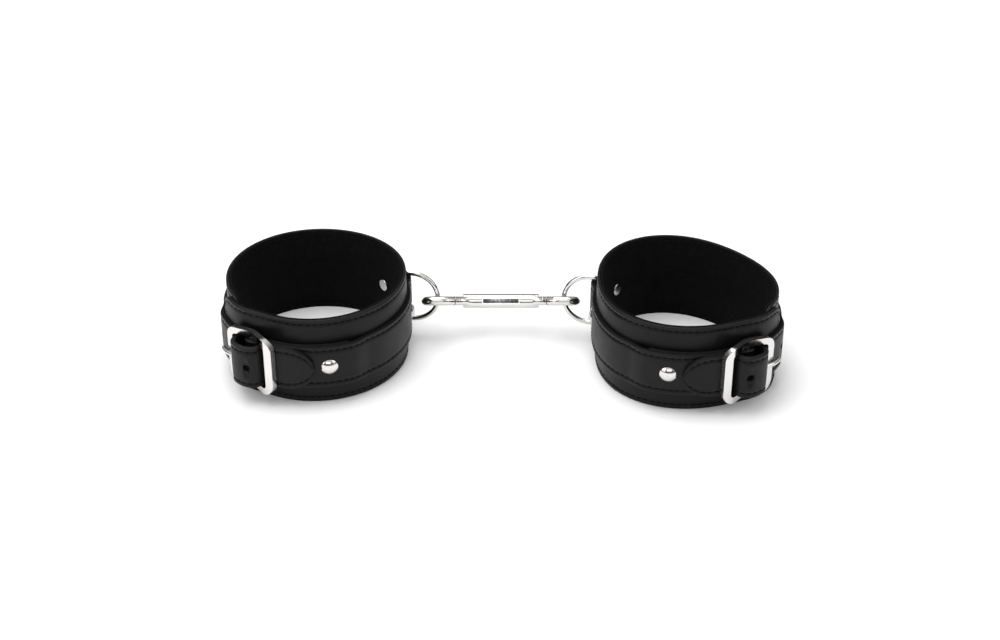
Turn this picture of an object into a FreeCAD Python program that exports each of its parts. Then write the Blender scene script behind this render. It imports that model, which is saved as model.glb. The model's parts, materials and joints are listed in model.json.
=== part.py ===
"""Pair of leather wrist cuffs with centre-bar buckles, joined by a double-ended bolt snap.

Millimetres, +Z up. +X runs from the left cuff to the right cuff, -Y is the side with the buckles.
The origin is the bottom centre of the whole object's box.

Each cuff is drawn "unrolled": s is the distance round the band from the D-ring, d is the height
above the band's outer face and z is the height above the floor. Cuff.at() bends (s, d) round the
cuff's plan oval. Both cuffs are drawn on the -X side and the right one is mirrored at the end.
"""
import FreeCAD, Part
import math
import os

Vector = FreeCAD.Vector
UP = Vector(0, 0, 1)

# Leather band that goes round the wrist
BAND_HEIGHT = 50.0
SHELL_THICKNESS = 1.6
LINING_THICKNESS = 1.3
LAYER_GAP = 0.1
BAND_THICKNESS = SHELL_THICKNESS + LAYER_GAP + LINING_THICKNESS
BAND_CORNER = 8.0
FLAP_END = -159.0
INNER_END = 172.3
LAP_START = -124.0
LAP_FULL = -146.0
LAP_LIFT = BAND_THICKNESS + 0.2

# Strap that closes the band
STRAP_WIDTH = 24.5
STRAP_LEVEL = 24.0
STRAP_SHELL = 1.3
STRAP_LINING = 0.8
STRAP_THICKNESS = STRAP_SHELL + LAYER_GAP + STRAP_LINING
STRAP_SEAT = 0.15
STRAP_TRACK = STRAP_SEAT + STRAP_THICKNESS / 2
SECOND_TRACK = STRAP_TRACK + STRAP_THICKNESS + LAYER_GAP
TAIL_TRACK = SECOND_TRACK + STRAP_THICKNESS + STRAP_SEAT
CHAPE_END = -79.4
CHAPE_DROP_END = -67.4
TAIL_RISE_START = 147.3
TAIL_RISE_END = 159.8
TAIL_TIP = -97.6
TIP_LENGTH = 15.0
HOLE_RADIUS = 2.0
BACK_HOLES = (109.3, 134.3, 159.3)
CREST_HOLE = 3.0
RIBBON_STEP = 1.6
BAND_STEP = 4.0
TRIM_MARGIN = 0.12
SIDE_EDGE = 24.0

# D-ring and the bump that the strap makes over its bar
RING_WIRE = 1.4
RING_INNER_HALF = 13.1
RING_CORNER = 2.6
RING_REACH = 18.9
RING_BAR_TRACK = 1.6
BUMP_HALF = 9.0
BUMP_HEIGHT = 3.0

# Rivets
CAP_RADIUS = 4.5
CAP_HEIGHT = 1.9
POST_RADIUS = 1.5
POST_CLEARANCE = 0.05
BACK_RADIUS = 3.5
BACK_HEIGHT = 0.7
RING_RIVETS = (-17.0, 17.0)
CHAPE_RIVET = -90.4
RIVET_SEAT = 0.3
RIVET_DRILL = 30.0

# Centre-bar buckle
CENTRE_BAR = -130.0
BAR_SPREAD = 12.0
CENTRE_BAR_RADIUS = 1.5
FOLD_RADIUS = CENTRE_BAR_RADIUS + 0.15 + STRAP_THICKNESS / 2
FOLD_FALL = 9.5
FRAME_THICKNESS = 3.0
FRAME_HEIGHT = 34.0
FRAME_LENGTH = 32.6
FRAME_CORNER = 7.0
FRAME_ARCH_DEPTH = 40.0
WINDOW_HEIGHT = 26.6
WINDOW_LENGTH = 23.6
WINDOW_CORNER = 2.5
HEEL_RISE = 3.1
TIP_RISE = 4.5
BULGE_HEIGHT = 14.2
PRONG_RADIUS = 1.2
PRONG_EYE_RADIUS = 2.9
PRONG_EYE_HEIGHT = 4.4
PRONG_EYE_CLEARANCE = 0.1
PRONG_SLOT_HEIGHT = 5.4
PRONG_SLOT_LENGTH = 12.0
PRONG_SLOT_REACH = 4.3
PRONG_REACH = 17.2
PRONG_REST = 0.25
PRONG_DRILL_HALF = 2.6

# Double-ended bolt snap
SNAP_LEVEL = 21.7
SNAP_TILT = 30.0
BARREL_HALF = 21.5
BARREL_RADIUS = 4.05
BARREL_EDGE = 0.4
BORE_RADIUS = 1.78
WALL_HALF = 0.75
HOOK_WIRE = 2.6
BOW_RADIUS = 5.3
BOW_CENTRE = 37.15
HOOK_TIP = 34.6
EYE_CENTRE = 35.6
EYE_OFFSET = 4.85
BOLT_RADIUS = 1.7
BOLT_TIP = 34.4
BOLT_HEEL = 10.5
BOLT_TRAVEL = 7.0
KNOB_PLACE = 15.0
KNOB_POST = 1.0
KNOB_RADIUS = 2.6
KNOB_HEIGHT = 1.8
KNOB_EDGE = 0.6
KNOB_LIFT = 0.35
SLOT_HALF = 1.15
PANEL_LENGTH = 21.0
PANEL_WIDTH = 3.3
PANEL_DEPTH = 0.7
PANEL_CORNER = 0.5
SPRING_WIRE = 0.22
SPRING_RADIUS = 1.35
SPRING_COILS = 7

# Each cuff's plan: radius(angle) = mean + oval cos 2(angle - oval_axis) + egg cos 3(angle - egg_axis)
LEFT_CUFF = {"mean": 50.8, "oval": 1.6, "oval_axis": 96, "egg": 0.2, "egg_axis": 26,
             "ring_angle": 23.5, "ring_yaw": -8}
RIGHT_CUFF = {"mean": 50.4, "oval": 2.4, "oval_axis": 67, "egg": 1.8, "egg_axis": 71,
              "ring_angle": 27.5, "ring_yaw": 10}


def smooth(value, start, end):
    """Smooth step from 0 at start to 1 at end."""
    t = min(max((value - start) / (end - start), 0.0), 1.0)
    return t * t * (3 - 2 * t)


def lap(s):
    """Lift of the band's front flap where it lies over the band's inner end."""
    return LAP_LIFT * smooth(s, LAP_START, LAP_FULL)


def bump(s):
    """Lift of the strap over the D-ring's bar."""
    if abs(s) >= BUMP_HALF:
        return 0.0
    return BUMP_HEIGHT * math.cos(math.pi * s / (2 * BUMP_HALF)) ** 2


def span(start, end, step):
    """Evenly spaced values from start to end, close to the given step."""
    count = max(int(math.ceil(abs(end - start) / step)), 1)
    return [start + (end - start) * i / count for i in range(count + 1)]


class Cuff:
    """Bends unrolled (s, d) places round a cuff's plan oval."""

    SAMPLES = 1440

    def __init__(self, plan):
        self.plan = plan
        start = math.radians(plan["ring_angle"])
        self.angles = [start + 2 * math.pi * i / self.SAMPLES for i in range(self.SAMPLES + 1)]
        points = [self.oval(angle) for angle in self.angles]
        self.lengths = [0.0]
        for a, b in zip(points, points[1:]):
            self.lengths.append(self.lengths[-1] + a.distanceToPoint(b))
        self.around = self.lengths[-1]
        self.origin = Vector(0, 0, 0)
        yaw = math.radians(plan["ring_yaw"])
        self.bar = Vector(-EYE_CENTRE - RING_REACH * math.cos(yaw), -RING_REACH * math.sin(yaw), 0)
        self.origin = self.bar - self.at(0, RING_BAR_TRACK)

    def radius(self, angle):
        p = self.plan
        oval = p["oval"] * math.cos(2 * (angle - math.radians(p["oval_axis"])))
        egg = p["egg"] * math.cos(3 * (angle - math.radians(p["egg_axis"])))
        return p["mean"] + oval + egg

    def oval(self, angle):
        r = self.radius(angle)
        return Vector(r * math.cos(angle), r * math.sin(angle), 0)

    def angle_at(self, s):
        target = s % self.around
        low = 0
        high = self.SAMPLES
        while high - low > 1:
            middle = (low + high) // 2
            if self.lengths[middle] <= target:
                low = middle
            else:
                high = middle
        part = (target - self.lengths[low]) / (self.lengths[high] - self.lengths[low])
        return self.angles[low] + part * (self.angles[high] - self.angles[low])

    def tangent(self, s):
        """Plan direction of growing s."""
        angle = self.angle_at(s)
        step = 0.01
        ahead = self.oval(angle + step) - self.oval(angle - step)
        return ahead.normalize()

    def at(self, s, d, z=0.0):
        out = self.tangent(s).cross(UP)
        return self.oval(self.angle_at(s)) + out * d + self.origin + UP * z

    def station(self, s, d, z):
        """Placement whose X runs along s, Y up and Z out of the band."""
        along = self.tangent(s)
        turn = FreeCAD.Rotation(along, UP, along.cross(UP), "ZXY")
        return FreeCAD.Placement(self.at(s, d, z), turn)


def plan_curve(points):
    curve = Part.BSplineCurve()
    curve.interpolate(points)
    return curve


def side_edges(points):
    """Smooth curve through points, as a chain of shorter curves."""
    curve = plan_curve(points)
    cuts = span(curve.FirstParameter, curve.LastParameter, SIDE_EDGE)
    edges = []
    for start, end in zip(cuts, cuts[1:]):
        piece = curve.copy()
        piece.segment(start, end)
        edges.append(piece.toShape())
    return edges


def ribbon(track, low, high, bottom, height, step=RIBBON_STEP):
    """Upright strip between offsets low and high to the right of a plan track."""
    curve = plan_curve(track)
    count = int(curve.length() / step)
    sides = ([], [])
    for point in curve.toShape().discretize(Number=count + 1):
        along = curve.tangent(curve.parameter(point))[0]
        right = along.cross(UP)
        sides[0].append(point + right * low + UP * bottom)
        sides[1].append(point + right * high + UP * bottom)
    start = Part.makeLine(sides[0][0], sides[1][0])
    end = Part.makeLine(sides[0][-1], sides[1][-1])
    outline = Part.__sortEdges__(side_edges(sides[0]) + [end] + side_edges(sides[1]) + [start])
    return Part.Face(Part.Wire(outline)).extrude(UP * height)


def rounded_prism(length, height, depth, radius):
    """Box with rounded corners seen along Z, centred on the origin."""
    box = Part.makeBox(length, height, depth, Vector(-length / 2, -height / 2, -depth / 2))
    upright = [e for e in box.Edges if abs(e.Vertexes[0].Z - e.Vertexes[1].Z) > depth / 2]
    return box.makeFillet(radius, upright)


def placed(shape, placement):
    moved = shape.copy()
    moved.Placement = placement.multiply(shape.Placement)
    return moved


def cylinder(radius, start, end):
    return Part.makeCylinder(radius, start.distanceToPoint(end), start, end - start)


def swept(path, radius):
    """Round bar along a path of edges, closed or with flat ends."""
    wire = Part.Wire(path)
    first = path[0]
    begin = first.valueAt(first.FirstParameter)
    ring = Part.Circle(begin, first.tangentAt(first.FirstParameter), radius)
    return wire.makePipeShell([Part.Wire(ring.toShape())], True, True)


# ---- leather -------------------------------------------------------------------------------

def band_layer(cuff, low, high):
    """One layer of the wrist band, with rounded corners at both ends."""
    track = [cuff.at(s, lap(s)) for s in span(FLAP_END, INNER_END, BAND_STEP)]
    layer = ribbon(track, low, high, 0.0, BAND_HEIGHT, BAND_STEP)
    reach = BAND_CORNER + 1
    flap_zone = [(s, lap(s)) for s in span(FLAP_END - 1, FLAP_END + reach, RIBBON_STEP)]
    inner_zone = [(s, lap(s)) for s in span(INNER_END - reach, INNER_END + 1, RIBBON_STEP)]
    layer = trimmed(layer, cuff, flap_zone, (low, high), corner_waste(cuff, FLAP_END, 1))
    layer = trimmed(layer, cuff, inner_zone, (low, high), corner_waste(cuff, INNER_END, -1))
    return layer.cut(rivet_holes(cuff))


def trimmed(layer, cuff, zone, faces, waste):
    """Layer with waste taken off its end, leaving any other turn that passes near it whole."""
    track = [cuff.at(s, d) for s, d in zone]
    strip = ribbon(track, faces[0] - TRIM_MARGIN, faces[1] + TRIM_MARGIN, 0.0, BAND_HEIGHT)
    solids = layer.cut(strip.common(waste)).Solids
    return max(solids, key=lambda solid: solid.Volume)


def corner_waste(cuff, end, side):
    """Both corners of a band end as prisms; side is +1 when the band lies at growing s."""
    depth = 4 * BAND_THICKNESS
    block = Part.makeBox(BAND_CORNER + 1, BAND_HEIGHT + 2, depth,
                         Vector(-1, -BAND_HEIGHT / 2 - 1, -depth / 2))
    keep = rounded_prism(4 * BAND_CORNER, BAND_HEIGHT, depth, BAND_CORNER)
    keep.translate(Vector(2 * BAND_CORNER, 0, 0))
    waste = block.cut(keep)
    if side < 0:
        waste = waste.mirror(Vector(0, 0, 0), Vector(1, 0, 0))
    return placed(waste, cuff.station(end, lap(end), BAND_HEIGHT / 2))


def rivet_holes(cuff):
    drills = []
    for s in RING_RIVETS + (CHAPE_RIVET,):
        drill = Part.makeCylinder(POST_RADIUS + POST_CLEARANCE, RIVET_DRILL, Vector(0, 0, -RIVET_DRILL / 2))
        drills.append(placed(drill, cuff.station(s, 0, STRAP_LEVEL)))
    return Part.makeCompound(drills)


def centre_bar_track():
    """Height of the buckle's centre bar above the band."""
    return STRAP_TRACK + lap(CENTRE_BAR) + FOLD_RADIUS


def chape_places():
    """Fold of the strap round the centre bar: in under the bar, round it and back over the top."""
    places = []
    for s in span(CHAPE_END, CENTRE_BAR, RIBBON_STEP):
        places.append((s, STRAP_TRACK + lap(s)))
    for turn in span(-math.pi / 2, -3 * math.pi / 2, RIBBON_STEP / FOLD_RADIUS / 2)[1:]:
        out = FOLD_RADIUS * math.sin(turn)
        places.append((CENTRE_BAR + FOLD_RADIUS * math.cos(turn), centre_bar_track() + out))
    crest = centre_bar_track() + FOLD_RADIUS
    for s in span(CENTRE_BAR + RIBBON_STEP, CENTRE_BAR + BAR_SPREAD, RIBBON_STEP):
        places.append((s, crest + (SECOND_TRACK - crest) * smooth(s, CENTRE_BAR, CENTRE_BAR + FOLD_FALL)))
    return places


def tail_bulge():
    """Arch of the tail from under the heel bar, over the fold and down under the tip bar."""
    heel = STRAP_TRACK + LAP_LIFT
    rise = BULGE_HEIGHT - heel
    drop = BULGE_HEIGHT - TAIL_TRACK
    return [(-11.0, heel + 0.05), (-9.1, heel + 0.09 * rise), (-8.1, heel + 0.31 * rise),
            (-7.3, heel + 0.58 * rise), (-5.4, heel + 0.88 * rise), (-1.5, BULGE_HEIGHT),
            (2.6, TAIL_TRACK + 0.97 * drop), (5.4, TAIL_TRACK + 0.74 * drop),
            (6.6, TAIL_TRACK + 0.40 * drop), (7.7, TAIL_TRACK + 0.11 * drop),
            (9.6, TAIL_TRACK), (13.0, TAIL_TRACK)]


def strap_track(cuff):
    """Plan track of the strap's mid layer, from the folded chape to the tail's tip."""
    places = chape_places()
    for s in span(CENTRE_BAR + BAR_SPREAD, CHAPE_END, 2 * RIBBON_STEP)[1:]:
        places.append((s, SECOND_TRACK))
    for s in span(CHAPE_END, CHAPE_DROP_END, 2 * RIBBON_STEP)[1:]:
        drop = smooth(s, CHAPE_END, CHAPE_DROP_END)
        places.append((s, SECOND_TRACK + (STRAP_TRACK - SECOND_TRACK) * drop))
    for s in span(CHAPE_DROP_END, TAIL_RISE_START, 2 * RIBBON_STEP)[1:]:
        places.append((s, STRAP_TRACK + bump(s)))
    for s in span(TAIL_RISE_START, cuff.around + CENTRE_BAR - BAR_SPREAD - 2, 2 * RIBBON_STEP)[1:]:
        places.append((s, STRAP_TRACK + LAP_LIFT * smooth(s, TAIL_RISE_START, TAIL_RISE_END)))
    for offset, d in tail_bulge():
        places.append((CENTRE_BAR + offset, d))
    for s in span(CENTRE_BAR + BAR_SPREAD + 1, TAIL_TIP, 2 * RIBBON_STEP)[1:]:
        places.append((s, TAIL_TRACK))
    return [cuff.at(s, d) for s, d in places]


def tip_waste(cuff):
    """Material round the tail's tongue, as a prism."""
    depth = 3 * TIP_LENGTH
    block = Part.makeBox(TIP_LENGTH + 2, STRAP_WIDTH + 2, depth,
                         Vector(0, -STRAP_WIDTH / 2 - 1, -depth / 2))
    oval = Part.Ellipse(Vector(0, 0, -depth / 2), TIP_LENGTH, STRAP_WIDTH / 2)
    tongue = Part.Face(Part.Wire(oval.toShape())).extrude(UP * depth)
    return placed(block.cut(tongue), cuff.station(TAIL_TIP - TIP_LENGTH, TAIL_TRACK, STRAP_LEVEL))


def strap_waste(cuff):
    """Punched holes, the prong's slot in the fold and the rivet holes."""
    cuts = [rivet_holes(cuff)]
    punch = Part.makeCylinder(HOLE_RADIUS, 4 * STRAP_THICKNESS, Vector(0, 0, -2 * STRAP_THICKNESS))
    for s in BACK_HOLES:
        cuts.append(placed(punch, cuff.station(s, STRAP_TRACK, STRAP_LEVEL)))
    cuts.append(placed(punch, cuff.station(CENTRE_BAR + CREST_HOLE, BULGE_HEIGHT, STRAP_LEVEL)))
    entry, leave = prong_crossing(cuff)
    cuts.append(cylinder(HOLE_RADIUS, entry, leave))
    below = centre_bar_track() + 1
    slot = Part.makeBox(PRONG_SLOT_LENGTH, PRONG_SLOT_HEIGHT, below + PRONG_SLOT_REACH,
                        Vector(-PRONG_SLOT_REACH, -PRONG_SLOT_HEIGHT / 2, -below))
    cuts.append(placed(slot, cuff.station(CENTRE_BAR, centre_bar_track(), STRAP_LEVEL)))
    return cuts


def strap_layer(cuff, low, high):
    layer = ribbon(strap_track(cuff), low, high, STRAP_LEVEL - STRAP_WIDTH / 2, STRAP_WIDTH)
    zone = [(s, TAIL_TRACK) for s in span(TAIL_TIP - TIP_LENGTH - 1, TAIL_TIP + 2, RIBBON_STEP)]
    layer = trimmed(layer, cuff, zone, (low, high), tip_waste(cuff))
    for waste in strap_waste(cuff):
        layer = layer.cut(waste)
    return layer


# ---- buckle --------------------------------------------------------------------------------

def frame_rise(offset):
    """Height of the arched frame over its centre bar, offset along s from the bar."""
    rise = HEEL_RISE if offset < 0 else TIP_RISE
    reach = min(abs(offset) / BAR_SPREAD, 1.0)
    return rise * (1 - math.cos(math.pi * reach)) / 2


def buckle_frame(cuff):
    centre = centre_bar_track()
    track = [cuff.at(CENTRE_BAR + x, centre + frame_rise(x)) for x in span(-16, 16, 1.0)]
    half = FRAME_THICKNESS / 2
    plate = ribbon(track, -half, half, STRAP_LEVEL - FRAME_HEIGHT / 2 - 1, FRAME_HEIGHT + 2)
    station = cuff.station(CENTRE_BAR, centre, STRAP_LEVEL)
    outside = placed(rounded_prism(FRAME_LENGTH, FRAME_HEIGHT, FRAME_ARCH_DEPTH, FRAME_CORNER), station)
    opening = rounded_prism(WINDOW_LENGTH, WINDOW_HEIGHT, 2 * FRAME_ARCH_DEPTH, WINDOW_CORNER)
    window = placed(opening, station)
    frame = plate.common(outside).cut(window)
    reach = WINDOW_HEIGHT / 2 + 1
    bar = cylinder(CENTRE_BAR_RADIUS, cuff.at(CENTRE_BAR, centre, STRAP_LEVEL - reach),
                   cuff.at(CENTRE_BAR, centre, STRAP_LEVEL + reach))
    return frame.fuse(bar)


def prong_places():
    """Prong centre line: from its eye, out through the tail and over the heel bar."""
    centre = centre_bar_track()
    heel_face = centre + HEEL_RISE + FRAME_THICKNESS / 2
    resting = heel_face + PRONG_REST + PRONG_RADIUS
    return [(-1.2, centre + 1.9), (-6.0, centre + 4.2), (-BAR_SPREAD, resting),
            (-PRONG_REACH, resting - 0.5)]


def prong_crossing(cuff):
    """Ends of the drill for the hole where the prong comes out through the tail."""
    (s0, d0), (s1, d1) = prong_places()[1:3]
    middle = cuff.at(CENTRE_BAR - 8.0, d0 + (d1 - d0) * (8.0 + s0) / (s0 - s1), STRAP_LEVEL)
    along = cuff.at(CENTRE_BAR + s1, d1) - cuff.at(CENTRE_BAR + s0, d0)
    along.normalize()
    return middle - along * PRONG_DRILL_HALF, middle + along * PRONG_DRILL_HALF


def buckle_prong(cuff):
    centre = centre_bar_track()
    low = STRAP_LEVEL - PRONG_EYE_HEIGHT / 2
    foot = cuff.at(CENTRE_BAR, centre, low)
    eye = Part.makeCylinder(PRONG_EYE_RADIUS, PRONG_EYE_HEIGHT, foot, UP)
    points = [cuff.at(CENTRE_BAR + s, d, STRAP_LEVEL) for s, d in prong_places()]
    shaft = swept([plan_curve(points).toShape()], PRONG_RADIUS)
    prong = eye.fuse(shaft).fuse(Part.makeSphere(PRONG_RADIUS, points[-1]))
    bore = CENTRE_BAR_RADIUS + PRONG_EYE_CLEARANCE
    return prong.cut(Part.makeCylinder(bore, PRONG_EYE_HEIGHT + 2, foot - UP, UP))


# ---- ring and rivets -----------------------------------------------------------------------

def d_ring(cuff):
    """D-shaped wire: upright bar, rounded corners, short arms and a half-round bow."""
    half = RING_INNER_HALF + RING_WIRE
    start = RING_REACH - half
    r = RING_CORNER
    k = r * (1 - math.sqrt(0.5))
    flat = [Part.makeLine(Vector(0, 0, r - half), Vector(0, 0, half - r)),
            Part.Arc(Vector(0, 0, half - r), Vector(k, 0, half - k), Vector(r, 0, half)).toShape(),
            Part.makeLine(Vector(r, 0, half), Vector(start, 0, half)),
            Part.Arc(Vector(start, 0, half), Vector(RING_REACH, 0, 0), Vector(start, 0, -half)).toShape(),
            Part.makeLine(Vector(start, 0, -half), Vector(r, 0, -half)),
            Part.Arc(Vector(r, 0, -half), Vector(k, 0, k - half), Vector(0, 0, r - half)).toShape()]
    ring = swept(flat, RING_WIRE)
    ring.rotate(Vector(0, 0, 0), UP, cuff.plan["ring_yaw"])
    ring.translate(cuff.bar + UP * STRAP_LEVEL)
    return ring


def rivet_cap(cuff, s, face):
    """Domed cap with its post, seated on a leather face at height d = face."""
    dome = (CAP_RADIUS ** 2 + CAP_HEIGHT ** 2) / (2 * CAP_HEIGHT)
    ball = Part.makeSphere(dome, Vector(0, 0, CAP_HEIGHT - dome))
    cap = ball.common(Part.makeCylinder(CAP_RADIUS + 1, CAP_HEIGHT + 1))
    length = face + BAND_THICKNESS + RIVET_SEAT
    post = Part.makeCylinder(POST_RADIUS, length, Vector(0, 0, -length))
    return placed(cap.fuse(post), cuff.station(s, face, STRAP_LEVEL))


def rivet_back(cuff, s):
    """Flat washer on the lining under a rivet."""
    washer = Part.makeCylinder(BACK_RADIUS, BACK_HEIGHT, Vector(0, 0, -BACK_HEIGHT))
    rim = [e for e in washer.Edges if e.Vertexes[0].Z < -BACK_HEIGHT / 2 and e.Closed]
    washer = washer.makeFillet(BACK_HEIGHT / 2, rim)
    return placed(washer, cuff.station(s, -BAND_THICKNESS - RIVET_SEAT, STRAP_LEVEL))


# ---- double-ended snap ---------------------------------------------------------------------

def snap_placement():
    """Snap axes: X along the snap, Y from the hook's spine to its bolt, Z out of the hook's plane."""
    turn = FreeCAD.Rotation(Vector(1, 0, 0), -SNAP_TILT)
    eye = turn.multVec(Vector(0, EYE_OFFSET, 0))
    return FreeCAD.Placement(Vector(0, 0, SNAP_LEVEL) + eye, turn)


def hook():
    """Bar of the left hook: out of the barrel, along the spine and round the bow to its tip."""
    spine = -2 * BOW_RADIUS
    root = Part.BSplineCurve()
    root.interpolate(Points=[Vector(-18.5, -2.6, 0), Vector(-24.5, -5.2, 0), Vector(-30.5, -9.4, 0),
                             Vector(-BOW_CENTRE, spine, 0)],
                     InitialTangent=Vector(-1, -0.2, 0), FinalTangent=Vector(-1, 0, 0))
    bow = Part.Arc(Vector(-BOW_CENTRE, spine, 0), Vector(-BOW_CENTRE - BOW_RADIUS, -BOW_RADIUS, 0),
                   Vector(-BOW_CENTRE, 0, 0))
    tip = Part.makeLine(Vector(-BOW_CENTRE, 0, 0), Vector(-HOOK_TIP, 0, 0))
    return swept([root.toShape(), bow.toShape(), tip], HOOK_WIRE)


def bolt_bore():
    """Room for the left bolt, its spring and the slot that its knob slides in."""
    bore = cylinder(BORE_RADIUS, Vector(-BARREL_HALF - 6, 0, 0), Vector(-WALL_HALF, 0, 0))
    near = -KNOB_PLACE + BOLT_TRAVEL
    slot = Part.makeBox(near + KNOB_PLACE, BARREL_RADIUS + 1, 2 * SLOT_HALF,
                        Vector(-KNOB_PLACE, 0, -SLOT_HALF))
    ends = [cylinder(SLOT_HALF, Vector(x, 0, 0), Vector(x, BARREL_RADIUS + 1, 0))
            for x in (-KNOB_PLACE, near)]
    return bore.fuse([slot] + ends)


def both_ends(left):
    return [left, left.mirror(Vector(0, 0, 0), Vector(1, 0, 0))]


def snap_body():
    barrel = cylinder(BARREL_RADIUS, Vector(-BARREL_HALF, 0, 0), Vector(BARREL_HALF, 0, 0))
    rims = [e for e in barrel.Edges if e.Closed]
    barrel = barrel.makeFillet(BARREL_EDGE, rims)
    body = barrel.fuse(both_ends(hook()))
    body = body.cut(Part.makeCompound(both_ends(bolt_bore())))
    panel = rounded_prism(PANEL_LENGTH, PANEL_WIDTH, 2 * PANEL_DEPTH, PANEL_CORNER)
    panel.rotate(Vector(0, 0, 0), Vector(1, 0, 0), 90)
    panel.translate(Vector(0, -BARREL_RADIUS, 0))
    return placed(body.cut(panel), snap_placement())


def snap_bolt():
    bolt = cylinder(BOLT_RADIUS, Vector(-BOLT_TIP, 0, 0), Vector(-BOLT_HEEL, 0, 0))
    return bolt.cut(cylinder(KNOB_POST + 0.02, Vector(-KNOB_PLACE, -0.5, 0), Vector(-KNOB_PLACE, 3, 0)))


def thumb_knob():
    base = BARREL_RADIUS + KNOB_LIFT
    post = cylinder(KNOB_POST, Vector(-KNOB_PLACE, -0.4, 0), Vector(-KNOB_PLACE, base + 0.5, 0))
    head = cylinder(KNOB_RADIUS, Vector(-KNOB_PLACE, base, 0),
                    Vector(-KNOB_PLACE, base + KNOB_HEIGHT, 0))
    return post.fuse(head.makeFillet(KNOB_EDGE, [e for e in head.Edges if e.Closed]))


def snap_spring():
    length = BOLT_HEEL - WALL_HALF - 4 * SPRING_WIRE
    helix = Part.makeHelix(length / SPRING_COILS, length, SPRING_RADIUS)
    edge = helix.Edges[0]
    ring = Part.Circle(edge.valueAt(edge.FirstParameter), edge.tangentAt(edge.FirstParameter), SPRING_WIRE)
    coil = Part.Wire(helix.Edges).makePipeShell([Part.Wire(ring.toShape())], True, True)
    coil.rotate(Vector(0, 0, 0), Vector(0, 1, 0), -90)
    coil.translate(Vector(-WALL_HALF - 2 * SPRING_WIRE, 0, 0))
    return coil


# ---- assembly ------------------------------------------------------------------------------

def cuff_nodes(plan):
    """All pieces of one cuff, drawn on the -X side."""
    cuff = Cuff(plan)
    half = STRAP_THICKNESS / 2
    single = STRAP_TRACK + half
    return {
        "band_shell": band_layer(cuff, -SHELL_THICKNESS, 0.0),
        "band_lining": band_layer(cuff, -BAND_THICKNESS, LINING_THICKNESS - BAND_THICKNESS),
        "strap": strap_layer(cuff, half - STRAP_SHELL, half),
        "strap_lining": strap_layer(cuff, -half, STRAP_LINING - half),
        "d_ring": d_ring(cuff),
        "d_ring_rivets": Part.makeCompound([rivet_cap(cuff, s, single) for s in RING_RIVETS]),
        "d_ring_rivet_backs": Part.makeCompound([rivet_back(cuff, s) for s in RING_RIVETS]),
        "chape_rivet": rivet_cap(cuff, CHAPE_RIVET, SECOND_TRACK + half),
        "chape_rivet_back": rivet_back(cuff, CHAPE_RIVET),
        "buckle_frame": buckle_frame(cuff),
        "buckle_prong": buckle_prong(cuff),
    }


def mirrored(shape):
    return shape.mirror(Vector(0, 0, 0), Vector(1, 0, 0))


def assembly():
    nodes = {"snap_body": snap_body()}
    for name, shape in cuff_nodes(LEFT_CUFF).items():
        nodes["left_" + name] = shape
    for name, shape in cuff_nodes(RIGHT_CUFF).items():
        nodes["right_" + name] = mirrored(shape)
    for name, make in (("snap_bolt", snap_bolt), ("thumb_knob", thumb_knob), ("snap_spring", snap_spring)):
        shape = placed(make(), snap_placement())
        nodes["left_" + name] = shape
        nodes["right_" + name] = mirrored(shape)
    return nodes


def origin_shift(nodes):
    """Move that puts the origin at the bottom centre of the whole object's box."""
    box = Part.makeCompound(list(nodes.values())).optimalBoundingBox()
    return Vector(-box.Center.x, -box.Center.y, -box.ZMin)


def main():
    os.makedirs("parts", exist_ok=True)
    nodes = assembly()
    shift = origin_shift(nodes)
    for name, shape in nodes.items():
        shape.translate(shift)
        shape.exportStep("parts/" + name + ".step")


main()
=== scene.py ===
"""Looks for a pair of black leather wrist cuffs joined by a nickel double-ended bolt snap.

The metal comes from the frame. The leather is rebuilt here as thin rounded strips bent round each
cuff's oval, with stitch channels, thread, punched holes and grain. The leather is worked out in
millimetres: s runs round the band from the D-ring, d is the height above the band's outer face and
z is the height above the floor. Texture scales are in cells per metre.
"""
import json
import math

import bmesh
import bpy
import numpy as np
from mathutils import Matrix, Vector


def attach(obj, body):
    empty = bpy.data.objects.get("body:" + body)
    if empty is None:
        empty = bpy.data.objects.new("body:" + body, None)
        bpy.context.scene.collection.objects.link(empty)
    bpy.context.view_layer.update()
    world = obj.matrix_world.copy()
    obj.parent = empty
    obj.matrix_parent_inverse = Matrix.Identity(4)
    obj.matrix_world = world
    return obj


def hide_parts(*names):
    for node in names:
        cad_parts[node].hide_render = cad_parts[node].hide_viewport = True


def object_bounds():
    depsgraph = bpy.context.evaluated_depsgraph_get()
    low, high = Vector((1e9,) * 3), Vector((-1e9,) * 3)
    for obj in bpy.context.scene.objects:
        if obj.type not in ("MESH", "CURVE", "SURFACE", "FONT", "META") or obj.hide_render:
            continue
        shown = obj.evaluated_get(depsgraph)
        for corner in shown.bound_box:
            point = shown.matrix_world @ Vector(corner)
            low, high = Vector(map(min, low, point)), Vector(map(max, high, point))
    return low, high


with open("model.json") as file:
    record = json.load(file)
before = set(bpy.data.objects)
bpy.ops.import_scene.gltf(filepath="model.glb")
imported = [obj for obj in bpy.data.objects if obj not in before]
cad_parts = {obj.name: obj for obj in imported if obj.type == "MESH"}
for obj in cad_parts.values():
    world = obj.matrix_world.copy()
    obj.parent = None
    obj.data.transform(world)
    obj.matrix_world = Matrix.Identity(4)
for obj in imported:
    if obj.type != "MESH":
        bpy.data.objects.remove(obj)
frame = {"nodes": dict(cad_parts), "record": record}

cad_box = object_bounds()
JOINTS = {joint["name"]: joint for joint in frame["record"]["behaviour"]["joints"]}
SLOTS = {part["node"]: part["material_slot"] for part in frame["record"]["subparts"]}
MM = 0.001

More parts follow.
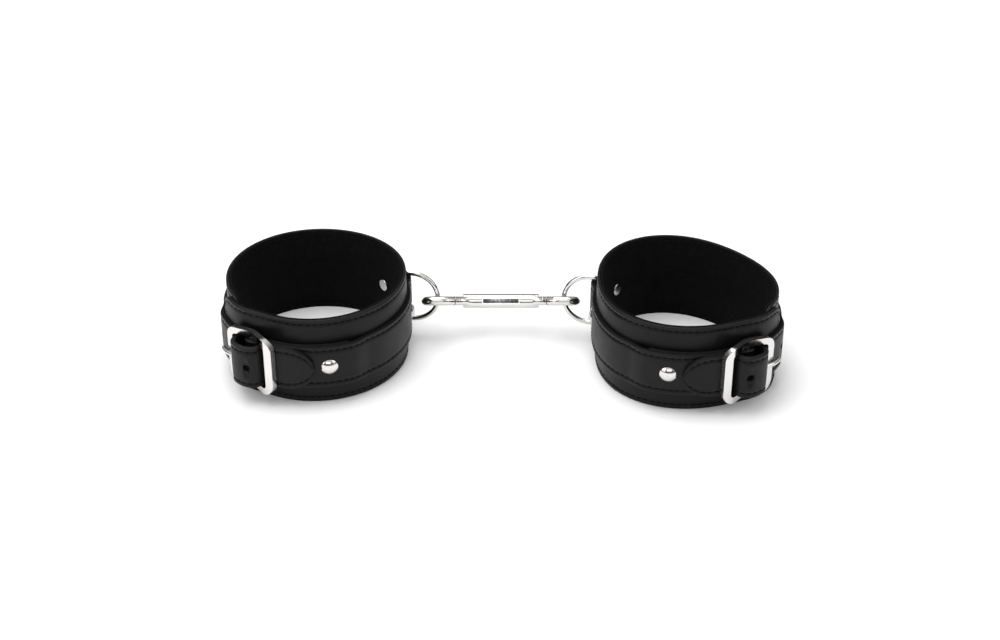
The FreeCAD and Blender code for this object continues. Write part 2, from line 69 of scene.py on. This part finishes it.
# Band
BAND_HEIGHT = 50.0
SHELL_THICKNESS = 1.6
BAND_THICKNESS = 3.0
LINING_TOP = -1.7
BAND_CORNER = 8.0
FLAP_END = -159.0
INNER_END = 172.3
LAP_START = -124.0
LAP_FULL = -146.0
LAP_LIFT = 3.2
BAND_STEP = 2.0

# Strap
STRAP_HALF = 12.25
STRAP_LEVEL = 24.0
STRAP_THICKNESS = 2.2
STRAP_SHELL = 1.3
STRAP_LINING = 0.8
STRAP_TRACK = 1.25
SECOND_TRACK = 3.55
TAIL_TRACK = 5.9
CHAPE_END = -79.4
CHAPE_DROP_END = -67.4
TAIL_RISE_START = 147.3
TAIL_RISE_END = 159.8
TAIL_TIP = -97.6
TIP_LENGTH = 15.0
BULGE_HEIGHT = 14.2
BUMP_HALF = 9.0
BUMP_HEIGHT = 3.0
CENTRE_BAR = -130.0
FOLD_RADIUS = 2.75
FOLD_FALL = 9.5
BAR_SPREAD = 12.0
RING_BAR_TRACK = 1.6
HOLE_RADIUS = 2.0
BACK_HOLES = (109.3, 134.3, 159.3)
CREST_HOLE = 3.0
STRAP_STEP = 2.0
LEVEL_STEP = 3.0
FOLD_STEP = 1.6
TURN_STEP = 0.3

# Cutters as heights d, or as places (along s, above the centre bar)
BACK_PUNCH = (-3.0, 9.0)
CREST_PUNCH = (10.5, 19.0)
PRONG_HOLE = ((-5.6, 4.0), (-10.4, 5.9))
PRONG_SLOT = ((-4.3, 0.0), (6.0, 0.0))
PRONG_SLOT_RADIUS = 2.7
CUTTER_SIDES = 28

# Cross-section: (in from the edge, down from the face) in edge radii, and the sewn channel as
# (from the stitch line, from the face)
EDGE_PROFILE = ((0.0, 1.0), (0.12, 0.55), (0.5, 0.15), (1.1, 0.0))
BACK_PROFILE = ((0.3, 0.0), (0.0, 0.3))
CHANNEL = ((-0.75, 0.0), (-0.35, -0.24), (0.0, -0.4), (0.35, -0.24), (0.8, 0.0), (2.2, 0.06))
FACE_CROWN = 0.08
LEATHER_EDGE = 0.45
LINING_EDGE = 0.3
BACKING_EDGE = 0.25
END_SOFTENING = 0.6
END_THICKNESS = 0.55

# Dark plate in the snap's panel: painted shade standing in for the shaded spring slot
SNAP_TILT = 30.0
EYE_OFFSET = 4.85
BARREL_RADIUS = 4.05
PANEL_DEPTH = 0.7
SHADE_PLATE_SIZE = (20.2, 0.4, 2.6)
SHADE_PLATE_EDGE = 0.12

# Thread
EDGE_STITCH = 2.5
STITCH_LENGTH = 2.7
STITCH_PITCH = 3.7
STITCH_RADIUS = 0.36
THREAD_SINK = 0.1
INNER_THREAD_RISE = 0.05
END_LINE_POINTS = 24

# Metal
METAL_EDGE = 0.45
METAL_EDGE_ANGLE = 38
HAIRLINE_STRETCH = (900, 90, 1400)

# Studio, in metres and watts: each light's place, size and power
LIGHT_TARGET = (0.0, 0.0, 0.02)
LIGHTS = {
    "key_overhead": ((-0.25, 0.15, 1.3), (1.5, 1.2), 17.0),
    "fill_left": ((-1.2, -0.7, 0.7), (0.9, 0.9), 5.0),
    "fill_right": ((1.3, -0.5, 0.8), (0.9, 0.9), 4.0),
    "front_soft": ((0.0, -1.5, 0.9), (1.4, 0.5), 4.0),
}
SKY = [(0.0, 0.55), (0.1, 0.05), (0.4, 0.22), (0.8, 0.8)]
FLOOR_SIZE = 8.0
FLOOR_GAP = 0.0002
FLOOR_WHITE = 0.93

# Camera
CAMERA_LENS = 63.0
CAMERA_SENSOR = 36.0
CAMERA_DISTANCE = 1.014
CAMERA_ELEVATION = 30.66
CAMERA_AIM = (-0.0004, 0.0400, 0.0)

# Each cuff's plan, angles in degrees:
# radius(angle) = mean + oval cos 2(angle - oval_axis) + egg cos 3(angle - egg_axis)
PLANS = {
    "left": {"mean": 50.8, "oval": 1.6, "oval_axis": 96, "egg": 0.2, "egg_axis": 26, "ring": 23.5},
    "right": {"mean": 50.4, "oval": 2.4, "oval_axis": 67, "egg": 1.8, "egg_axis": 71, "ring": 27.5},
}
PLAN_SAMPLES = 1441
SIGN = {"left": 1.0, "right": -1.0}


def smooth(value, start, end):
    """Smooth step from 0 at start to 1 at end."""
    t = np.clip((value - start) / (end - start), 0.0, 1.0)
    return t * t * (3 - 2 * t)


def lap(s):
    """Lift of the band's front flap over its inner end."""
    return LAP_LIFT * smooth(s, LAP_START, LAP_FULL)


def bump(s):
    """Lift of the strap over the D-ring's bar."""
    inside = np.abs(s) < BUMP_HALF
    return np.where(inside, BUMP_HEIGHT * np.cos(math.pi * s / (2 * BUMP_HALF)) ** 2, 0.0)


def span(start, end, step):
    """Evenly spaced values from start to end, close to the given step."""
    count = max(int(math.ceil(abs(end - start) / step)), 1)
    return np.linspace(start, end, count + 1)


class Cuff:
    """Bends (s, d) round one cuff's plan oval, drawn on the -X side and mirrored for the right."""

    def __init__(self, side):
        self.side = side
        self.sign = SIGN[side]
        plan = PLANS[side]
        angles = math.radians(plan["ring"]) + np.linspace(0, 2 * math.pi, PLAN_SAMPLES)
        oval = plan["oval"] * np.cos(2 * (angles - math.radians(plan["oval_axis"])))
        egg = plan["egg"] * np.cos(3 * (angles - math.radians(plan["egg_axis"])))
        radius = plan["mean"] + oval + egg
        self.plan = np.stack([radius * np.cos(angles), radius * np.sin(angles)], axis=1)
        steps = np.hypot(*np.diff(self.plan, axis=0).T)
        self.lengths = np.concatenate([[0.0], np.cumsum(steps)])
        self.around = self.lengths[-1]
        along = np.gradient(self.plan, self.lengths, axis=0)
        self.out = np.stack([along[:, 1], -along[:, 0]], axis=1)
        self.out /= np.linalg.norm(self.out, axis=1)[:, None]
        bar = np.array(JOINTS[side + "_cuff_swivel"]["pos_m"]) / MM
        self.origin = np.zeros(2)
        self.origin = np.array([self.sign * bar[0], bar[1]]) - self.at(0.0, RING_BAR_TRACK)[0]

    def at(self, s, d):
        """Plan points for arrays of s and d."""
        s = np.atleast_1d(np.asarray(s, float)) % self.around
        d = np.broadcast_to(np.asarray(d, float), s.shape)
        base = np.stack([np.interp(s, self.lengths, self.plan[:, i]) for i in (0, 1)], axis=1)
        out = np.stack([np.interp(s, self.lengths, self.out[:, i]) for i in (0, 1)], axis=1)
        return base + out * d[:, None] + self.origin

    def world(self, plan, z):
        """Metres in the frame, from plan points and heights in millimetres."""
        return np.stack([self.sign * plan[..., 0], plan[..., 1], z], axis=-1) * MM


class Track:
    """Evenly resampled plan line with its right-hand normals."""

    def __init__(self, points, step=1.0):
        points = catmull(points)
        steps = np.hypot(*np.diff(points, axis=0).T)
        length = np.concatenate([[0.0], np.cumsum(steps)])
        self.s = span(0.0, length[-1], step)
        self.length = length[-1]
        self.points = np.stack([np.interp(self.s, length, points[:, i]) for i in (0, 1)], axis=1)
        along = np.gradient(self.points, self.s, axis=0)
        along /= np.linalg.norm(along, axis=1)[:, None]
        self.right = np.stack([along[:, 1], -along[:, 0]], axis=1)


def catmull(points, parts=8):
    """Smooth line through points."""
    p = np.vstack([2 * points[0] - points[1], points, 2 * points[-1] - points[-2]])
    t = np.linspace(0, 1, parts, endpoint=False)[:, None]
    pieces = []
    for a, b, c, d in zip(p[:-3], p[1:-2], p[2:-1], p[3:]):
        pieces.append(0.5 * (2 * b + (c - a) * t + (2 * a - 5 * b + 4 * c - d) * t ** 2
                             + (3 * b - a - 3 * c + d) * t ** 3))
    return np.vstack(pieces + [points[-1:]])


# ---- tracks --------------------------------------------------------------------------------

def band_track(cuff):
    s = span(FLAP_END, INNER_END, BAND_STEP)
    return Track(cuff.at(s, lap(s)))


def centre_bar_track():
    return STRAP_TRACK + float(lap(CENTRE_BAR)) + FOLD_RADIUS


def chape_places():
    """Fold of the strap round the buckle's centre bar."""
    inner = span(CHAPE_END, CENTRE_BAR, STRAP_STEP)
    turn = span(-math.pi / 2, -3 * math.pi / 2, TURN_STEP)[1:]
    crest = centre_bar_track() + FOLD_RADIUS
    outer = span(CENTRE_BAR + FOLD_STEP, CENTRE_BAR + BAR_SPREAD, FOLD_STEP)
    fold_s = CENTRE_BAR + FOLD_RADIUS * np.cos(turn)
    fold_d = centre_bar_track() + FOLD_RADIUS * np.sin(turn)
    fall = smooth(outer, CENTRE_BAR, CENTRE_BAR + FOLD_FALL)
    return [(inner, STRAP_TRACK + lap(inner)), (fold_s, fold_d),
            (outer, crest + (SECOND_TRACK - crest) * fall)]


def bulge_places():
    """Arch of the tail between the buckle's two outer bars."""
    heel = STRAP_TRACK + LAP_LIFT
    rise = BULGE_HEIGHT - heel
    drop = BULGE_HEIGHT - TAIL_TRACK
    climb = [(-11.0, heel + 0.05), (-9.1, heel + 0.09 * rise), (-8.1, heel + 0.31 * rise),
             (-7.3, heel + 0.58 * rise), (-5.4, heel + 0.88 * rise), (-1.5, BULGE_HEIGHT)]
    fall = [(2.6, TAIL_TRACK + 0.97 * drop), (5.4, TAIL_TRACK + 0.74 * drop),
            (6.6, TAIL_TRACK + 0.40 * drop), (7.7, TAIL_TRACK + 0.11 * drop),
            (9.6, TAIL_TRACK), (13.0, TAIL_TRACK)]
    s, d = np.array(climb + fall).T
    return s + CENTRE_BAR, d


def strap_track(cuff):
    """Mid layer of the strap, from the chape to the tail's tip."""
    places = chape_places()
    level = span(CENTRE_BAR + BAR_SPREAD, CHAPE_END, LEVEL_STEP)[1:]
    places.append((level, SECOND_TRACK))
    drop = span(CHAPE_END, CHAPE_DROP_END, STRAP_STEP)[1:]
    fall = smooth(drop, CHAPE_END, CHAPE_DROP_END)
    places.append((drop, SECOND_TRACK + (STRAP_TRACK - SECOND_TRACK) * fall))
    round_back = span(CHAPE_DROP_END, TAIL_RISE_START, STRAP_STEP)[1:]
    places.append((round_back, STRAP_TRACK + bump(round_back)))
    climb = span(TAIL_RISE_START, cuff.around + CENTRE_BAR - BAR_SPREAD - 2, STRAP_STEP)[1:]
    places.append((climb, STRAP_TRACK + LAP_LIFT * smooth(climb, TAIL_RISE_START, TAIL_RISE_END)))
    places.append(bulge_places())
    tip = span(CENTRE_BAR + BAR_SPREAD + 1, TAIL_TIP, STRAP_STEP)[1:]
    places.append((tip, TAIL_TRACK))
    return Track(np.vstack([cuff.at(s, d) for s, d in places]))


# ---- strips --------------------------------------------------------------------------------

def band_half(track):
    """Half height along the band, rounded at both ends."""
    near = np.clip(np.minimum(track.s, track.length - track.s), 0, BAND_CORNER)
    bite = BAND_CORNER - np.sqrt(BAND_CORNER ** 2 - (BAND_CORNER - near) ** 2)
    return BAND_HEIGHT / 2 - bite


def strap_half(track):
    """Half width along the strap, narrowing to a tongue at the tail's tip."""
    near = np.clip(track.length - track.s, 0.02, TIP_LENGTH)
    return STRAP_HALF * np.sqrt(1 - (1 - near / TIP_LENGTH) ** 2)


def section(low, high, edge, channel):
    """Closed cross-section as (distance from an edge, which edge, through the thickness)."""
    face = [(inward * edge, high - down * edge) for inward, down in EDGE_PROFILE]
    if channel:
        face += [(EDGE_STITCH + along, high + rise) for along, rise in CHANNEL]
    back = [(inward * edge, low + up * edge) for inward, up in BACK_PROFILE]
    lower = [(e, -1, w) for e, w in face]
    upper = [(e, 1, w) for e, w in reversed(face)]
    inner = [(e, 1, w) for e, w in reversed(back)] + [(e, -1, w) for e, w in back]
    middle = [(0.0, 0, high + (FACE_CROWN if channel else 0.0))]
    return lower + middle + upper + inner


def strip(name, cuff, track, half, level, low, high, edge=LEATHER_EDGE, channel=True):
    """Leather strip: a cross-section swept along a track, with softened ends."""
    ring = section(low, high, edge, channel)
    dist = np.array([p[0] for p in ring])
    side = np.array([p[1] for p in ring])
    through = np.array([p[2] for p in ring])
    fit = np.clip(half / (EDGE_STITCH + 3.0), 0.02, 1.0)[:, None]
    height = level + side * (half[:, None] - dist * fit)
    ends = np.clip(np.minimum(track.s, track.length - track.s) / END_SOFTENING, 0.0, 1.0)
    soften = (END_THICKNESS + (1 - END_THICKNESS) * np.sqrt(1 - (1 - ends) ** 2))[:, None]
    middle = (low + high) / 2
    depth = middle + (through - middle) * soften
    plan = track.points[:, None, :] + track.right[:, None, :] * depth[..., None]
    return grid_object(name, cuff.world(plan, height))


def grid_object(name, verts):
    """Tube of quads from rows of closed rings, closed at both ends."""
    rows, count = verts.shape[:2]
    mesh = bpy.data.meshes.new(name)
    faces = []
    for i in range(rows - 1):
        for j in range(count):
            k = (j + 1) % count
            faces.append((i * count + j, i * count + k, (i + 1) * count + k, (i + 1) * count + j))
    faces.append(tuple(range(count)))
    faces.append(tuple((rows - 1) * count + j for j in reversed(range(count))))
    mesh.from_pydata(verts.reshape(-1, 3).tolist(), [], faces)
    return finish_mesh(name, mesh)


def finish_mesh(name, mesh):
    """Linked object with outward, smooth-shaded faces."""
    bm = bmesh.new()
    bm.from_mesh(mesh)
    bmesh.ops.recalc_face_normals(bm, faces=bm.faces)
    for face in bm.faces:
        face.smooth = True
    bm.to_mesh(mesh)
    bm.free()
    piece = bpy.data.objects.new(name, mesh)
    bpy.context.scene.collection.objects.link(piece)
    return piece


def cut(piece, cutters):
    """Boolean cut with every cutter, applied to the mesh."""
    for cutter in cutters:
        modifier = piece.modifiers.new("cut", "BOOLEAN")
        modifier.operation = "DIFFERENCE"
        modifier.solver = "EXACT"
        modifier.object = cutter
    graph = bpy.context.evaluated_depsgraph_get()
    mesh = bpy.data.meshes.new_from_object(piece.evaluated_get(graph))
    piece.modifiers.clear()
    piece.data = mesh
    for face in mesh.polygons:
        face.use_smooth = True


def cylinder_cutter(start, end, radius):
    """Cylinder between two points, in metres."""
    bm = bmesh.new()
    axis = Vector(end) - Vector(start)
    turn = axis.to_track_quat("Z", "Y").to_matrix().to_4x4()
    place = Matrix.Translation((Vector(start) + Vector(end)) / 2) @ turn
    bmesh.ops.create_cone(bm, cap_ends=True, segments=CUTTER_SIDES, radius1=radius, radius2=radius,
                          depth=axis.length, matrix=place)
    mesh = bpy.data.meshes.new("punch")
    bm.to_mesh(mesh)
    bm.free()
    cutter = bpy.data.objects.new("punch", mesh)
    bpy.context.scene.collection.objects.link(cutter)
    return cutter


def drill(cuff, places, radius=HOLE_RADIUS):
    """Cutter at the strap's middle between two (s, d) places."""
    s, d = zip(*places)
    start, end = cuff.world(cuff.at(s, d), np.full(2, STRAP_LEVEL))
    return cylinder_cutter(start, end, radius * MM)


def strap_cutters(cuff):
    """The strap's round holes and the slot for the prong in the fold."""
    cutters = [drill(cuff, [(s, d) for d in BACK_PUNCH]) for s in BACK_HOLES]
    cutters.append(drill(cuff, [(CENTRE_BAR + CREST_HOLE, d) for d in CREST_PUNCH]))
    centre = centre_bar_track()
    crossing = [(CENTRE_BAR + s, centre + d) for s, d in PRONG_HOLE]
    cutters.append(drill(cuff, crossing))
    slot = [(CENTRE_BAR + s, centre + d) for s, d in PRONG_SLOT]
    cutters.append(drill(cuff, slot, PRONG_SLOT_RADIUS))
    return cutters


# ---- thread --------------------------------------------------------------------------------

def thread(name, lines):
    """Row of short plump stitches along each 3D line."""
    bm = bmesh.new()
    for line in lines:
        steps = np.linalg.norm(np.diff(line, axis=0), axis=1)
        length = np.concatenate([[0.0], np.cumsum(steps)])
        count = int(length[-1] / (STITCH_PITCH * MM))
        for i in range(count):
            middle = (i + 0.5) * length[-1] / count
            half = 0.5 * STITCH_LENGTH * MM
            a, b = [Vector([np.interp(middle + offset, length, line[:, k]) for k in range(3)])
                    for offset in (-half, half)]
            turn = (b - a).to_track_quat("Z", "Y").to_matrix().to_4x4()
            shape = Matrix.Diagonal((STITCH_RADIUS * MM, STITCH_RADIUS * MM, half, 1.0))
            bmesh.ops.create_icosphere(bm, subdivisions=1, radius=1.0,
                                       matrix=Matrix.Translation((a + b) / 2) @ turn @ shape)
    mesh = bpy.data.meshes.new(name)
    bm.to_mesh(mesh)
    bm.free()
    return finish_mesh(name, mesh)


def edge_lines(cuff, track, half, level, depth, start, end):
    """Stitch lines near both long edges of a strip, between two lengths along it."""
    keep = (track.s >= start) & (track.s <= end)
    plan = track.points[keep] + track.right[keep] * depth
    inset = np.maximum(half[keep] - EDGE_STITCH, 0.0)
    return [cuff.world(plan, level + sign * inset) for sign in (-1, 1)]


def end_line(cuff, track, half, level, depth, at):
    """Stitch line across a strip."""
    i = int(np.argmin(np.abs(track.s - at)))
    reach = half[i] - EDGE_STITCH
    z = np.linspace(-reach, reach, END_LINE_POINTS) + level
    plan = np.repeat((track.points[i] + track.right[i] * depth)[None], END_LINE_POINTS, axis=0)
    return cuff.world(plan, z)


# ---- materials -----------------------------------------------------------------------------

class Nodes:
    """Small helper that builds one node material."""

    def __init__(self, name):
        self.material = bpy.data.materials.new(name)
        self.material.use_nodes = True
        self.tree = self.material.node_tree
        self.shader = self.tree.nodes["Principled BSDF"]
        self.place = self.add("ShaderNodeTexCoord").outputs["Object"]

    def add(self, kind, **values):
        node = self.tree.nodes.new(kind)
        for key, value in values.items():
            setattr(node, key, value)
        return node

    def link(self, source, target):
        self.tree.links.new(source, target)

    def noise(self, scale, detail=4.0, roughness=0.55):
        node = self.add("ShaderNodeTexNoise")
        node.inputs["Scale"].default_value = scale
        node.inputs["Detail"].default_value = detail
        node.inputs["Roughness"].default_value = roughness
        self.link(self.place, node.inputs["Vector"])
        return node.outputs["Fac"]

    def cells(self, scale, feature="F1"):
        node = self.add("ShaderNodeTexVoronoi", feature=feature)
        node.inputs["Scale"].default_value = scale
        self.link(self.place, node.inputs["Vector"])
        return node.outputs["Distance"]

    def ramp(self, source, stops):
        node = self.add("ShaderNodeValToRGB")
        while len(node.color_ramp.elements) < len(stops):
            node.color_ramp.elements.new(0.5)
        for element, (position, color) in zip(node.color_ramp.elements, stops):
            element.position = position
            element.color = tuple(color) + (1.0,)
        self.link(source, node.inputs["Fac"])
        return node.outputs["Color"]

    def mapped(self, source, low, high):
        node = self.add("ShaderNodeMapRange")
        node.inputs["To Min"].default_value = low
        node.inputs["To Max"].default_value = high
        self.link(source, node.inputs["Value"])
        return node.outputs["Result"]

    def bump(self, source, strength, distance, normal=None):
        node = self.add("ShaderNodeBump")
        node.inputs["Strength"].default_value = strength
        node.inputs["Distance"].default_value = distance
        self.link(source, node.inputs["Height"])
        if normal is not None:
            self.link(normal, node.inputs["Normal"])
        return node.outputs["Normal"]


def grey(value, warm=0.0):
    """Grey with a slight warm tint, as red, green and blue."""
    return (value * (1 + warm), value, value * (1 - warm))


def leather(name, base, rough, grain):
    """Smooth black leather: fine pebble grain, faint creases and uneven polish."""
    m = Nodes(name)
    m.link(m.ramp(m.noise(70), [(0.3, grey(base * 0.8)), (0.7, grey(base * 1.35))]),
           m.shader.inputs["Base Color"])
    m.link(m.mapped(m.noise(160, 6), rough - 0.07, rough + 0.09), m.shader.inputs["Roughness"])
    pebble = m.bump(m.cells(1500, "SMOOTH_F1"), grain, 0.00012)
    pores = m.bump(m.noise(4200, 3), grain * 0.7, 0.00005, pebble)
    m.link(m.bump(m.noise(110, 5), 0.25, 0.0006, pores), m.shader.inputs["Normal"])
    m.shader.inputs["Specular IOR Level"].default_value = 0.19
    return m.material


def fuzzy_lining(name):
    """Matt black lining with a short brushed nap."""
    m = Nodes(name)
    m.link(m.ramp(m.noise(300, 8), [(0.35, grey(0.0012)), (0.7, grey(0.003))]),
           m.shader.inputs["Base Color"])
    m.link(m.bump(m.noise(5200, 4), 0.5, 0.0001), m.shader.inputs["Normal"])
    m.shader.inputs["Roughness"].default_value = 0.9
    m.shader.inputs["Specular IOR Level"].default_value = 0.1
    return m.material


def thread_material(name):
    """Waxed black thread with twisted plies."""
    m = Nodes(name)
    m.link(m.ramp(m.noise(900), [(0.3, grey(0.0008)), (0.75, grey(0.003))]),
           m.shader.inputs["Base Color"])
    m.link(m.bump(m.noise(6000, 2), 0.6, 0.0001), m.shader.inputs["Normal"])
    m.shader.inputs["Roughness"].default_value = 0.7
    m.shader.inputs["Specular IOR Level"].default_value = 0.12
    return m.material


def metal(name, base, rough, scratch):
    """Plated metal with faint haze, hairline scratches and small dents in its polish."""
    m = Nodes(name)
    m.link(m.ramp(m.noise(60, 5), [(0.35, grey(base * 0.93, 0.012)), (0.65, grey(base, 0.02))]),
           m.shader.inputs["Base Color"])
    stretch = m.add("ShaderNodeMapping")
    stretch.inputs["Scale"].default_value = HAIRLINE_STRETCH
    m.link(m.place, stretch.inputs["Vector"])
    hair = m.add("ShaderNodeTexNoise")
    hair.inputs["Scale"].default_value = 2.0
    hair.inputs["Detail"].default_value = 6.0
    m.link(stretch.outputs["Vector"], hair.inputs["Vector"])
    m.link(m.mapped(m.noise(240, 6), rough * 0.6, rough * 1.6), m.shader.inputs["Roughness"])
    wavy = m.bump(m.noise(140, 2), 0.25, 0.0005)
    m.link(m.bump(hair.outputs["Fac"], scratch, 0.00004, wavy), m.shader.inputs["Normal"])
    m.shader.inputs["Metallic"].default_value = 1.0
    return m.material


def knurled_slot_shade(name):
    """Dark nickel colour with a coarse rolled texture: painted shade for the snap's shaded spring
    slot.
    """
    m = Nodes(name)
    # Painted shade: this dark colour stands in for the shade inside the snap's spring slot.
    m.link(m.ramp(m.noise(900, 3), [(0.35, grey(0.12)), (0.65, grey(0.38))]),
           m.shader.inputs["Base Color"])
    m.link(m.bump(m.noise(1100, 3), 0.8, 0.0004), m.shader.inputs["Normal"])
    m.shader.inputs["Metallic"].default_value = 1.0
    m.shader.inputs["Roughness"].default_value = 0.4
    return m.material


def floor_material():
    """Matt white paper."""
    m = Nodes("studio_floor")
    m.link(m.mapped(m.noise(3), 0.75, 0.85), m.shader.inputs["Roughness"])
    m.shader.inputs["Base Color"].default_value = grey(FLOOR_WHITE) + (1.0,)
    return m.material


# ---- pieces --------------------------------------------------------------------------------

def dress(piece, material, body):
    """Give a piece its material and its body."""
    piece.data.materials.clear()
    piece.data.materials.append(material)
    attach(piece, body)


def build_band(cuff, looks):
    """Outer leather, lining and stitching of one wrist band."""
    track = band_track(cuff)
    half = band_half(track)
    level = BAND_HEIGHT / 2
    body = cuff.side + "_cuff"
    shell = strip(body + "_band_leather", cuff, track, half, level, -SHELL_THICKNESS, 0.0)
    dress(shell, looks["leather"], body)
    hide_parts(cuff.side + "_band_shell")
    lining = strip(body + "_band_lining", cuff, track, half, level, -BAND_THICKNESS, LINING_TOP,
                   edge=LINING_EDGE, channel=False)
    dress(lining, looks["lining"], body)
    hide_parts(cuff.side + "_band_lining")
    faces = ((-THREAD_SINK, "outer"), (-BAND_THICKNESS - INNER_THREAD_RISE, "inner"))
    for face, label in faces:
        lines = edge_lines(cuff, track, half, level, face, EDGE_STITCH, track.length - EDGE_STITCH)
        for at in (EDGE_STITCH, track.length - EDGE_STITCH):
            lines.append(end_line(cuff, track, half, level, face, at))
        sewing = thread(body + "_band_thread_" + label, lines)
        dress(sewing, looks["thread"], body)


def build_strap(cuff, looks):
    """Outer leather, backing, holes and stitching of one strap."""
    track = strap_track(cuff)
    half = strap_half(track)
    body = cuff.side + "_cuff"
    top = STRAP_THICKNESS / 2
    shell = strip(body + "_strap_leather", cuff, track, half, STRAP_LEVEL, top - STRAP_SHELL, top)
    backing = strip(body + "_strap_backing", cuff, track, half, STRAP_LEVEL, -top,
                    STRAP_LINING - top, edge=BACKING_EDGE, channel=False)
    cutters = strap_cutters(cuff)
    cut(shell, cutters)
    cut(backing, cutters)
    for cutter in cutters:
        bpy.data.objects.remove(cutter)
    dress(shell, looks["leather"], body)
    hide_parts(cuff.side + "_strap")
    dress(backing, looks["backing"], body)
    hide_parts(cuff.side + "_strap_lining")
    lines = edge_lines(cuff, track, half, STRAP_LEVEL, top - THREAD_SINK, EDGE_STITCH,
                       track.length - EDGE_STITCH)
    sewing = thread(body + "_strap_thread", lines)
    dress(sewing, looks["thread"], body)


def finish_metal(looks):
    """Nickel and spring wire on the carried CAD nodes, with softened edges."""
    for name, node in frame["nodes"].items():
        slot = SLOTS[name]
        if slot not in ("nickel_plate", "spring_steel"):
            continue
        node.data.materials.clear()
        node.data.materials.append(looks["nickel" if slot == "nickel_plate" else "wire"])
        if name.endswith("buckle_frame") or name == "snap_body":
            soften = node.modifiers.new("soft_edges", "BEVEL")
            soften.width = METAL_EDGE * MM
            soften.segments = 3
            soften.limit_method = "ANGLE"
            soften.angle_limit = math.radians(METAL_EDGE_ANGLE)


def build_slot_shade_plate(looks):
    """Dark plate with a rolled texture in the panel on the snap's camera side: painted shade
    standing in for the shaded spring slot.
    """
    eye = JOINTS["left_ring_swing"]["pos_m"]
    other = JOINTS["right_ring_swing"]["pos_m"]
    middle = (Vector(eye) + Vector(other)) / 2
    turn = Matrix.Rotation(math.radians(-SNAP_TILT), 4, "X")
    reach = Vector((0.0, EYE_OFFSET - BARREL_RADIUS + PANEL_DEPTH - SHADE_PLATE_SIZE[1] / 2, 0.0)) * MM
    bm = bmesh.new()
    bmesh.ops.create_cube(bm, size=1.0)
    bmesh.ops.scale(bm, vec=Vector(SHADE_PLATE_SIZE) * MM, verts=bm.verts)
    bmesh.ops.bevel(bm, geom=bm.edges, offset=SHADE_PLATE_EDGE * MM, segments=3, affect="EDGES")
    bm.transform(Matrix.Translation(middle) @ turn @ Matrix.Translation(reach))
    mesh = bpy.data.meshes.new("snap_slot_shade_plate")
    bm.to_mesh(mesh)
    bm.free()
    slot_shade_plate = finish_mesh("snap_slot_shade_plate", mesh)
    dress(slot_shade_plate, looks["slot_shade_plate"], "snap")


# ---- studio --------------------------------------------------------------------------------

def add_light(name, place, size, power):
    """Soft rectangular light aimed at the middle of the pair."""
    data = bpy.data.lights.new(name, "AREA")
    data.shape = "RECTANGLE"
    data.size, data.size_y = size
    data.energy = power
    lamp = bpy.data.objects.new(name, data)
    lamp.location = place
    lamp.rotation_euler = (Vector(LIGHT_TARGET) - Vector(place)).to_track_quat("-Z", "Y").to_euler()
    bpy.context.scene.collection.objects.link(lamp)


def build_world():
    """White to the camera; to reflections a pale sky with a darker horizon."""
    world = bpy.data.worlds.new("studio")
    bpy.context.scene.world = world
    world.use_nodes = True
    tree = world.node_tree
    back = tree.nodes["Background"]
    paper = tree.nodes.new("ShaderNodeBackground")
    mix = tree.nodes.new("ShaderNodeMixShader")
    path = tree.nodes.new("ShaderNodeLightPath")
    split = tree.nodes.new("ShaderNodeSeparateXYZ")
    place = tree.nodes.new("ShaderNodeTexCoord")
    ramp = tree.nodes.new("ShaderNodeValToRGB")
    while len(ramp.color_ramp.elements) < len(SKY):
        ramp.color_ramp.elements.new(0.5)
    for element, (position, value) in zip(ramp.color_ramp.elements, SKY):
        element.position = position
        element.color = (value, value, value, 1.0)
    tree.links.new(place.outputs["Generated"], split.inputs[0])
    tree.links.new(split.outputs["Z"], ramp.inputs["Fac"])
    tree.links.new(ramp.outputs["Color"], back.inputs["Color"])
    tree.links.new(path.outputs["Is Camera Ray"], mix.inputs[0])
    tree.links.new(back.outputs[0], mix.inputs[1])
    tree.links.new(paper.outputs[0], mix.inputs[2])
    tree.links.new(mix.outputs[0], tree.nodes["World Output"].inputs["Surface"])
    paper.inputs["Color"].default_value = (1.0, 1.0, 1.0, 1.0)
    back.inputs["Strength"].default_value = 1.0


def build_studio():
    build_world()
    bpy.ops.mesh.primitive_plane_add(size=FLOOR_SIZE, location=(0, 0, cad_box[0][2] - FLOOR_GAP))
    floor = bpy.context.object
    floor.name = "studio_floor"
    floor.data.materials.append(floor_material())
    for name, (place, size, power) in LIGHTS.items():
        add_light(name, place, size, power)
    bpy.context.scene.view_settings.view_transform = "Standard"


def build_camera():
    """Long lens looking down at the pair from the buckle side."""
    elevation = math.radians(CAMERA_ELEVATION)
    back = Vector((0.0, -math.cos(elevation), math.sin(elevation)))
    data = bpy.data.cameras.new("camera")
    data.lens = CAMERA_LENS
    data.sensor_width = CAMERA_SENSOR
    camera = bpy.data.objects.new("camera", data)
    camera.location = Vector(CAMERA_AIM) + CAMERA_DISTANCE * back
    camera.rotation_euler = (math.pi / 2 - elevation, 0.0, 0.0)
    bpy.context.scene.collection.objects.link(camera)
    bpy.context.scene.camera = camera


def main():
    looks = {"leather": leather("black_leather_grain", 0.003, 0.42, 0.35),
             "backing": leather("strap_backing_leather", 0.003, 0.6, 0.3),
             "lining": fuzzy_lining("band_lining_nap"),
             "thread": thread_material("waxed_thread"),
             "nickel": metal("nickel_plate_polished", 0.68, 0.14, 0.2),
             "wire": metal("spring_wire", 0.6, 0.3, 0.3),
             # The slot plate's dark colour is painted shade for the snap's spring slot.
             "slot_shade_plate": knurled_slot_shade("painted_slot_shade_knurled")}
    for side in ("left", "right"):
        cuff = Cuff(side)
        build_band(cuff, looks)
        build_strap(cuff, looks)
    finish_metal(looks)
    build_slot_shade_plate(looks)
    build_studio()
    build_camera()


main()
